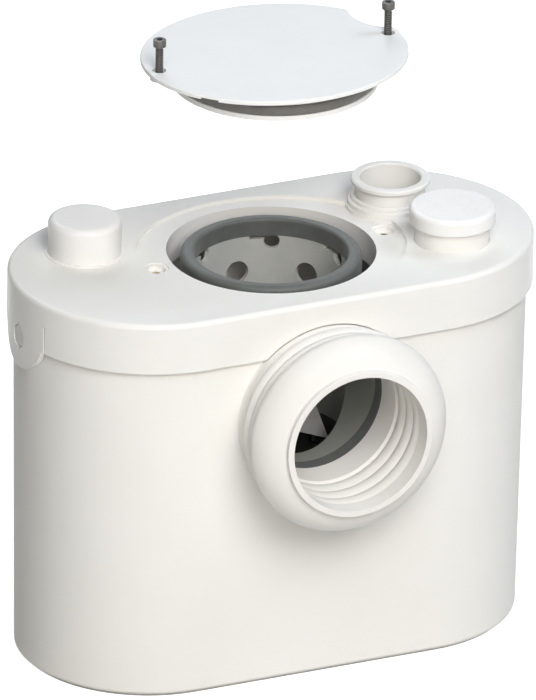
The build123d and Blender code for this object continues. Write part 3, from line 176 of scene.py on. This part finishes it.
finishLooks = {
    "white_shell": dict(
        colour=fromScreen(243, 241, 236), mottle=fromScreen(241, 239, 233), mottleSize=60 * mm,
        roughness=(0.46, 0.56), grainSize=0.35 * mm, relief=0.25, depth=0.012, specular=0.08),
    "white_gloss": dict(
        colour=fromScreen(240, 238, 233), mottle=fromScreen(237, 235, 230), mottleSize=50 * mm,
        roughness=(0.18, 0.24), grainSize=0.5 * mm, relief=0.12, depth=0.006, specular=0.12),
    "white_cover": dict(
        colour=fromScreen(243, 242, 239), mottle=fromScreen(240, 239, 236), mottleSize=40 * mm,
        roughness=(0.3, 0.38), grainSize=0.4 * mm, relief=0.15, depth=0.01, specular=0.2),
    "white_cap": dict(
        colour=fromScreen(244, 242, 239), mottle=fromScreen(241, 239, 236), mottleSize=25 * mm,
        roughness=(0.24, 0.32), grainSize=0.4 * mm, relief=0.12, depth=0.01, specular=0.25),
    "white_rubber": dict(
        colour=fromScreen(238, 235, 230), mottle=fromScreen(235, 232, 226), mottleSize=30 * mm,
        roughness=(0.5, 0.6), grainSize=0.3 * mm, relief=0.25, depth=0.012, specular=0.1),
    "pale_rubber": dict(
        colour=fromScreen(208, 207, 203), mottle=fromScreen(202, 201, 197), mottleSize=12 * mm,
        roughness=(0.5, 0.64), grainSize=0.25 * mm, relief=0.3, specular=0.2),
    "dark_rubber": dict(
        colour=fromScreen(92, 95, 92), mottle=fromScreen(84, 86, 83), mottleSize=9 * mm,
        roughness=(0.46, 0.62), grainSize=0.22 * mm, relief=0.35, depth=0.02, sheen=0.1),
    "grey_rubber": dict(
        colour=fromScreen(112, 110, 105), mottle=fromScreen(100, 98, 94), mottleSize=8 * mm,
        roughness=(0.48, 0.64), grainSize=0.22 * mm, relief=0.35, depth=0.02, sheen=0.1),
    "light_grey_moulding": dict(
        colour=fromScreen(184, 180, 176), mottle=fromScreen(175, 172, 168), mottleSize=20 * mm,
        roughness=(0.42, 0.52), grainSize=0.3 * mm, relief=0.25, specular=0.3),
    "wet_grey_moulding": dict(
        colour=fromScreen(180, 180, 175), mottle=fromScreen(171, 172, 167), mottleSize=20 * mm,
        roughness=(0.42, 0.52), grainSize=0.3 * mm, relief=0.25, specular=0.3,
        # painted shade: the chamber wall darkens from 204 mm down to 180 mm, for the shade deep inside it
        low=fromScreen(146, 147, 141), lowFrom=204 * mm, lowTo=180 * mm),
    "dark_moulding": dict(
        colour=fromScreen(72, 71, 66), mottle=fromScreen(60, 60, 56), mottleSize=15 * mm,
        roughness=(0.42, 0.54), grainSize=0.3 * mm, relief=0.3),
    "black_moulding": dict(
        colour=fromScreen(38, 38, 38), mottle=fromScreen(30, 31, 32), mottleSize=12 * mm,
        roughness=(0.38, 0.5), grainSize=0.25 * mm, relief=0.3),
    "steel": dict(
        colour=fromScreen(182, 183, 182), mottle=fromScreen(160, 161, 161), mottleSize=14 * mm,
        metallic=1.0, roughness=(0.26, 0.4), grainSize=0.3 * mm, stretch=(1, 1, 0.1), relief=0.3),
    "blade_steel": dict(
        colour=fromScreen(232, 232, 229), mottle=fromScreen(218, 218, 215), mottleSize=10 * mm,
        metallic=0.15, roughness=(0.36, 0.5), grainSize=0.25 * mm, stretch=(0.15, 1, 1),
        relief=0.35),
    "screw_steel": dict(
        colour=fromScreen(104, 103, 100), mottle=fromScreen(88, 87, 85), mottleSize=4 * mm,
        metallic=0.75, roughness=(0.4, 0.56), grainSize=0.2 * mm, relief=0.3),
    "can_steel": dict(
        colour=fromScreen(150, 152, 154), mottle=fromScreen(134, 136, 138), mottleSize=18 * mm,
        metallic=1.0, roughness=(0.32, 0.46), grainSize=0.35 * mm, stretch=(1, 1, 0.08),
        relief=0.3),
    "lamination_steel": dict(
        colour=fromScreen(140, 140, 142), mottle=fromScreen(112, 112, 116), mottleSize=12 * mm,
        metallic=1.0, roughness=(0.4, 0.6), pattern="bands", grainSize=0.5 * mm, relief=0.8,
        depth=0.1),
    "copper_wire": dict(
        colour=fromScreen(176, 96, 58), mottle=fromScreen(142, 72, 42), mottleSize=5 * mm,
        metallic=1.0, roughness=(0.24, 0.44), pattern="bands", grainSize=0.6 * mm, waver=2.0,
        relief=0.8, depth=0.15, coat=0.4),
    "bronze": dict(
        colour=fromScreen(160, 122, 76), mottle=fromScreen(132, 100, 62), mottleSize=5 * mm,
        metallic=1.0, roughness=(0.34, 0.5), grainSize=0.2 * mm, relief=0.3),
    "brass": dict(
        colour=fromScreen(200, 186, 148), mottle=fromScreen(184, 170, 132), mottleSize=4 * mm,
        metallic=1.0, roughness=(0.26, 0.42), grainSize=0.2 * mm, relief=0.3),
    "carbon_foam": dict(
        colour=fromScreen(46, 46, 47), mottle=fromScreen(34, 34, 35), mottleSize=4 * mm,
        roughness=(0.8, 0.95), pattern="cells", grainSize=0.9 * mm, relief=0.9, depth=0.4),
    "switch_red": dict(
        colour=fromScreen(176, 44, 38), mottle=fromScreen(158, 36, 32), mottleSize=4 * mm,
        roughness=(0.34, 0.46), grainSize=0.2 * mm, relief=0.2),
    "capacitor_white": dict(
        colour=fromScreen(226, 226, 222), mottle=fromScreen(216, 216, 212), mottleSize=14 * mm,
        roughness=(0.36, 0.48), grainSize=0.3 * mm, relief=0.2),
    "terminal_cream": dict(
        colour=fromScreen(222, 214, 190), mottle=fromScreen(208, 200, 176), mottleSize=8 * mm,
        roughness=(0.4, 0.52), grainSize=0.25 * mm, relief=0.25),
    "gland_grey": dict(
        colour=fromScreen(198, 199, 198), mottle=fromScreen(186, 187, 187), mottleSize=10 * mm,
        roughness=(0.38, 0.5), grainSize=0.25 * mm, relief=0.25),
}
finishes = {slot: makeFinish(slot, look) for slot, look in finishLooks.items()}

nodeFinishes = {
    "white_shell": ["tank"],
    "white_gloss": ["lid", "spigot_collar", "upper_neck", "discharge_spigot"],
    "white_cover": ["hatch_cover"],
    "white_cap": ["inlet_cap", "vent_dome"],
    "white_rubber": ["inlet_sleeve"],
    "pale_rubber": ["base_mat"],
    "dark_rubber": ["basket_collar", "port_gasket", "riser_hose", "lid_seal", "shaft_seals"],
    "grey_rubber": ["hatch_ring", "inlet_cap_ring", "discharge_flap", "upper_inlet_flap",
                    "pressure_membrane"],
    "light_grey_moulding": ["valve_body", "pressure_tube", "discharge_riser"],
    "wet_grey_moulding": ["basket_chamber"],
    "dark_moulding": ["macerator_bowl", "pump_volute", "switch_housing", "membrane_plunger"],
    "black_moulding": ["impeller", "microswitch"],
    "steel": ["drive_shaft", "bowl_screws", "hose_clips", "motor_bolts", "valve_pin", "upper_flap_pin",
              "switch_lever"],
    "blade_steel": ["macerator_blade"],
    "screw_steel": ["hatch_screw_left", "hatch_screw_right"],
    "can_steel": ["motor_can", "motor_cover"],
    "lamination_steel": ["stator_core", "rotor_core"],
    "copper_wire": ["stator_windings"],
    "bronze": ["motor_bearings"],
    "brass": ["screw_inserts"],
    "carbon_foam": ["vent_filter"],
    "switch_red": ["switch_button"],
    "capacitor_white": ["capacitor"],
    "terminal_cream": ["terminal_block"],
    "gland_grey": ["cable_gland", "electrics_box"],
}
for slot, names in nodeFinishes.items():
    for name in names:
        mesh = cadNodes[name].data
        mesh.materials.clear()
        mesh.materials.append(finishes[slot])
print("finishes made:", len(finishes))


# Geometry Nodes: the tree, its sizes and the step from the result to a plain mesh

def sizedTree(name, sizes):
    # a new tree whose named inputs are the sizes given, and its first and last nodes
    tree = bpy.data.node_groups.new(name, "GeometryNodeTree")
    tree.interface.new_socket("Geometry", in_out="INPUT", socket_type="NodeSocketGeometry")
    tree.interface.new_socket("Geometry", in_out="OUTPUT", socket_type="NodeSocketGeometry")
    for label, value in sizes.items():
        kind = "NodeSocketInt" if isinstance(value, int) else "NodeSocketFloat"
        tree.interface.new_socket(label, in_out="INPUT", socket_type=kind)
    tree.interface.new_socket("Finish", in_out="INPUT", socket_type="NodeSocketMaterial")
    begin = addNode(tree, "NodeGroupInput", -900, 0)
    end = addNode(tree, "NodeGroupOutput", 1100, 0)
    return tree, begin, end


def closeTree(tree, begin, end, geometry):
    realize = addNode(tree, "GeometryNodeRealizeInstances", 700, 0)
    paint = addNode(tree, "GeometryNodeSetMaterial", 900, 0)
    tree.links.new(geometry, realize.inputs["Geometry"])
    tree.links.new(realize.outputs["Geometry"], paint.inputs["Geometry"])
    tree.links.new(begin.outputs["Finish"], paint.inputs["Material"])
    tree.links.new(paint.outputs["Geometry"], end.inputs["Geometry"])


def plainMesh(name, startMesh, tree, sizes, finish):
    # runs the tree once on the start mesh and keeps the result as an ordinary object
    holder = bpy.data.objects.new(name, startMesh)
    bpy.context.scene.collection.objects.link(holder)
    modifier = holder.modifiers.new("Make", "NODES")
    modifier.node_group = tree
    for item in tree.interface.items_tree:
        if item.in_out == "INPUT" and item.name in sizes:
            modifier[item.identifier] = sizes[item.name]
        elif item.in_out == "INPUT" and item.name == "Finish":
            modifier[item.identifier] = finish
    graph = bpy.context.evaluated_depsgraph_get()
    made = bpy.data.meshes.new_from_object(holder.evaluated_get(graph), depsgraph=graph)
    holder.modifiers.remove(modifier)
    holder.data = made
    if not made.materials:
        made.materials.append(finish)
    return holder


def lathe(name, profile, segments):
    # a closed turned mesh about Z from (radius, height) points, bottom to top; ends on the axis close it
    work = bmesh.new()
    rings = []
    for radius, height in profile:
        if radius == 0:
            rings.append([work.verts.new((0, 0, height))])
            continue
        steps = [math.tau * k / segments for k in range(segments)]
        rings.append([work.verts.new((radius * math.cos(a), radius * math.sin(a), height)) for a in steps])
    for lower, upper in zip(rings, rings[1:]):
        for k in range(segments):
            after = (k + 1) % segments
            if len(lower) == 1:
                corners = [lower[0], upper[after], upper[k]]
            elif len(upper) == 1:
                corners = [lower[k], lower[after], upper[0]]
            else:
                corners = [lower[k], lower[after], upper[after], upper[k]]
            work.faces.new(corners).smooth = True
    bmesh.ops.recalc_face_normals(work, faces=work.faces)
    mesh = bpy.data.meshes.new(name)
    work.to_mesh(mesh)
    work.free()
    return mesh


def sharpen(mesh, degrees):
    # smooth faces, with edges that turn more than this kept crisp
    work = bmesh.new()
    work.from_mesh(mesh)
    for face in work.faces:
        face.smooth = True
    for edge in work.edges:
        edge.smooth = len(edge.link_faces) == 2 and edge.calc_face_angle() < math.radians(degrees)
    work.to_mesh(mesh)
    work.free()


# Hatch screws: a socket head, a plain neck and a threaded shank

screw = dict(headRadius=4.05 * mm, headHeight=5.0 * mm, headEdge=0.5 * mm, neckRadius=1.95 * mm,
             socketRadius=1.9 * mm, socketDepth=2.6 * mm, threadTop=1.5 * mm, threadPitch=1.25 * mm,
             threadHeight=0.62 * mm, tipLength=1.2 * mm, sides=32, coilSteps=24, crease=40,
             tipShare=0.6, tipBend=0.5, headBend=0.3)  # shares of the neck radius, tip length and head edge


def threadTree(sizes):
    tree, begin, end = sizedTree("Screw thread", sizes)
    helix = addNode(tree, "GeometryNodeCurveSpiral", -600, -200)
    for label in ("Resolution", "Rotations", "Height"):
        tree.links.new(begin.outputs[label], helix.inputs[label])
    tree.links.new(begin.outputs["Radius"], helix.inputs["Start Radius"])
    tree.links.new(begin.outputs["Radius"], helix.inputs["End Radius"])
    upright = addNode(tree, "GeometryNodeSetCurveNormal", -400, -200)
    if "Mode" in upright.inputs:
        upright.inputs["Mode"].default_value = "Z Up"
    else:
        upright.mode = "Z_UP"
    tree.links.new(helix.outputs["Curve"], upright.inputs["Curve"])
    ridge = addNode(tree, "GeometryNodeCurvePrimitiveCircle", -400, -450)
    feed(ridge, Resolution=4)
    tree.links.new(begin.outputs["Ridge"], ridge.inputs["Radius"])
    sweep = addNode(tree, "GeometryNodeCurveToMesh", -150, -200)
    feed(sweep, Fill_Caps=True)
    tree.links.new(upright.outputs["Curve"], sweep.inputs["Curve"])
    tree.links.new(ridge.outputs["Curve"], sweep.inputs["Profile Curve"])
    lift = addNode(tree, "GeometryNodeTransform", 100, -200)
    across = addNode(tree, "ShaderNodeCombineXYZ", -100, -500)
    tree.links.new(begin.outputs["Start"], across.inputs["Z"])
    tree.links.new(sweep.outputs["Mesh"], lift.inputs["Geometry"])
    tree.links.new(across.outputs["Vector"], lift.inputs["Translation"])
    together = addNode(tree, "GeometryNodeJoinGeometry", 400, 0)
    tree.links.new(begin.outputs["Geometry"], together.inputs["Geometry"])
    tree.links.new(lift.outputs["Geometry"], together.inputs["Geometry"])
    closeTree(tree, begin, end, together.outputs["Geometry"])
    return tree


def makeHatchScrew(node, body):
    low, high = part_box(node)
    middle = (low + high) / 2
    length = high.z - low.z
    under = length - screw["headHeight"]
    edge = screw["headEdge"]
    bend = edge * screw["headBend"]
    socketFloor = length - screw["socketDepth"]
    profile = [(0, 0), (screw["neckRadius"] * screw["tipShare"], 0),
               (screw["neckRadius"], screw["tipLength"] * screw["tipBend"]),
               (screw["neckRadius"], under), (screw["headRadius"] - edge, under),
               (screw["headRadius"], under + edge), (screw["headRadius"], length - edge),
               (screw["headRadius"] - bend, length - bend), (screw["headRadius"] - edge, length),
               (screw["socketRadius"], length), (screw["socketRadius"], socketFloor), (0, socketFloor)]
    start = lathe(node, profile, screw["sides"])
    sharpen(start, screw["crease"])
    run = under - screw["threadTop"] - screw["tipLength"]
    sizes = {"Resolution": screw["coilSteps"], "Rotations": run / screw["threadPitch"], "Height": run,
             "Radius": screw["neckRadius"], "Ridge": screw["threadHeight"], "Start": screw["tipLength"]}
    piece = plainMesh(node + "_threaded", start, threadTree(sizes), sizes, finishes["screw_steel"])
    piece.data.transform(Matrix.Translation((middle.x, middle.y, low.z)))
    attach(piece, body)
    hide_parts(node)
    return piece


makeHatchScrew("hatch_screw_left", "left_screw")
makeHatchScrew("hatch_screw_right", "right_screw")
print("hatch screws made")


# Floor, light and camera

stage = dict(floorSize=6.0, floorColour=fromScreen(205, 204, 202), floorGlow=0.93,
             aimHeight=0.16, worldLight=0.0)


def seenDirectly(tree, path, x, y):
    # 1 for rays from the camera and for those that mirror or pass through a surface
    first = addNode(tree, "ShaderNodeMath", x, y, operation="MAXIMUM")
    second = addNode(tree, "ShaderNodeMath", x + 150, y, operation="MAXIMUM")
    tree.links.new(path.outputs["Is Camera Ray"], first.inputs[0])
    tree.links.new(path.outputs["Is Glossy Ray"], first.inputs[1])
    tree.links.new(first.outputs[0], second.inputs[0])
    tree.links.new(path.outputs["Is Transmission Ray"], second.inputs[1])
    return second.outputs[0]


def makeFloor():
    bpy.ops.mesh.primitive_plane_add(size=stage["floorSize"])
    floor = bpy.context.object
    floor.name = "floor"
    material = bpy.data.materials.new("pale_floor")
    material.use_nodes = True
    tree = material.node_tree
    tree.nodes.clear()
    out = addNode(tree, "ShaderNodeOutputMaterial", 600, 0)
    both = addNode(tree, "ShaderNodeAddShader", 400, 0)
    matte = addNode(tree, "ShaderNodeBsdfDiffuse", 100, 100)
    feed(matte, Color=stage["floorColour"])
    glow = addNode(tree, "ShaderNodeEmission", 100, -100)
    path = addNode(tree, "ShaderNodeLightPath", -500, -100)
    level = addNode(tree, "ShaderNodeMath", -100, -100, operation="MULTIPLY")
    level.inputs[1].default_value = stage["floorGlow"]
    tree.links.new(seenDirectly(tree, path, -300, -100), level.inputs[0])
    tree.links.new(level.outputs[0], glow.inputs["Strength"])
    tree.links.new(matte.outputs["BSDF"], both.inputs[0])
    tree.links.new(glow.outputs["Emission"], both.inputs[1])
    tree.links.new(both.outputs["Shader"], out.inputs["Surface"])
    floor.data.materials.append(material)


def makeWorld():
    world = bpy.data.worlds.new("studio")
    bpy.context.scene.world = world
    world.use_nodes = True
    tree = world.node_tree
    tree.nodes.clear()
    out = addNode(tree, "ShaderNodeOutputWorld", 600, 0)
    choose = addNode(tree, "ShaderNodeMixShader", 400, 0)
    soft = addNode(tree, "ShaderNodeBackground", 100, 100)
    feed(soft, Strength=stage["worldLight"])
    white = addNode(tree, "ShaderNodeBackground", 100, -100)
    feed(white, Color=(1, 1, 1, 1), Strength=1.0)
    path = addNode(tree, "ShaderNodeLightPath", -500, 0)
    tree.links.new(seenDirectly(tree, path, -300, 0), choose.inputs[0])
    tree.links.new(soft.outputs["Background"], choose.inputs[1])
    tree.links.new(white.outputs["Background"], choose.inputs[2])
    tree.links.new(choose.outputs["Shader"], out.inputs["Surface"])


lamps = {  # where each soft box stands (m), its width (m), power (W) and tint
    "front": dict(place=(-0.15, -2.3, 2.1), width=1.6, power=46.0, tint=(1.0, 0.993, 0.9)),
    "frontLeft": dict(place=(-0.8, -2.4, 1.5), width=1.4, power=21.5, tint=(1.0, 0.94, 0.96)),
    "frontHigh": dict(place=(-0.5, -1.3, 2.7), width=1.4, power=9.0, tint=(0.83, 1.0, 0.977)),
    "frontFar": dict(place=(-0.9, -3.0, 3.2), width=2.0, power=23.5, tint=(0.6, 0.6, 1.0)),
    "rightHigh": dict(place=(2.4, -0.5, 3.2), width=1.8, power=45.0, tint=(0.77, 0.86, 1.0)),
    "backHigh": dict(place=(0.4, 2.6, 2.8), width=1.8, power=33.0, tint=(0.84, 0.90, 1.0)),
    "left": dict(place=(-3.2, -2.2, 1.6), width=1.6, power=8.0, tint=(1.0, 1.0, 0.6)),
}


def makeLamps():
    aim = Vector((0, 0, stage["aimHeight"]))
    for name, lamp in lamps.items():
        light = bpy.data.lights.new(name, "AREA")
        light.shape = "DISK"
        light.size = lamp["width"]
        light.energy = lamp["power"]
        light.color = lamp["tint"]
        holder = bpy.data.objects.new(name, light)
        bpy.context.scene.collection.objects.link(holder)
        holder.location = lamp["place"]
        holder.rotation_mode = "QUATERNION"
        holder.rotation_quaternion = (aim - Vector(lamp["place"])).to_track_quat("-Z", "Y")


shot = dict(turn=-24.29, height=24.65, roll=0.985, distance=15.0, pixelsPerMm=1.602, imageHeight=700,
            sensorWidth=36, clipShare=3, centreZ=130 * mm, aimRight=-0.06 * mm, aimUp=51.7 * mm)


def makeCamera():
    turn, height, roll = (math.radians(shot[key]) for key in ("turn", "height", "roll"))
    back = Vector((math.sin(turn) * math.cos(height), -math.cos(turn) * math.cos(height), math.sin(height)))
    levelRight = Vector((math.cos(turn), math.sin(turn), 0))
    levelUp = back.cross(levelRight)
    right = math.cos(roll) * levelRight + math.sin(roll) * levelUp
    up = -math.sin(roll) * levelRight + math.cos(roll) * levelUp
    aim = Vector((0, 0, shot["centreZ"])) + shot["aimRight"] * right + shot["aimUp"] * up
    data = bpy.data.cameras.new("photo_view")
    data.sensor_width = shot["sensorWidth"]
    data.sensor_fit = "AUTO"
    data.lens = shot["pixelsPerMm"] / mm * shot["distance"] * data.sensor_width / shot["imageHeight"]
    data.clip_end = shot["distance"] * shot["clipShare"]
    camera = bpy.data.objects.new("photo_view", data)
    bpy.context.scene.collection.objects.link(camera)
    axes = Matrix((right, up, back)).transposed()
    camera.matrix_world = Matrix.Translation(aim + shot["distance"] * back) @ axes.to_4x4()
    bpy.context.scene.camera = camera


makeFloor()
makeWorld()
makeLamps()
makeCamera()
bpy.context.scene.view_settings.view_transform = "Standard"
print("floor, light and camera set")
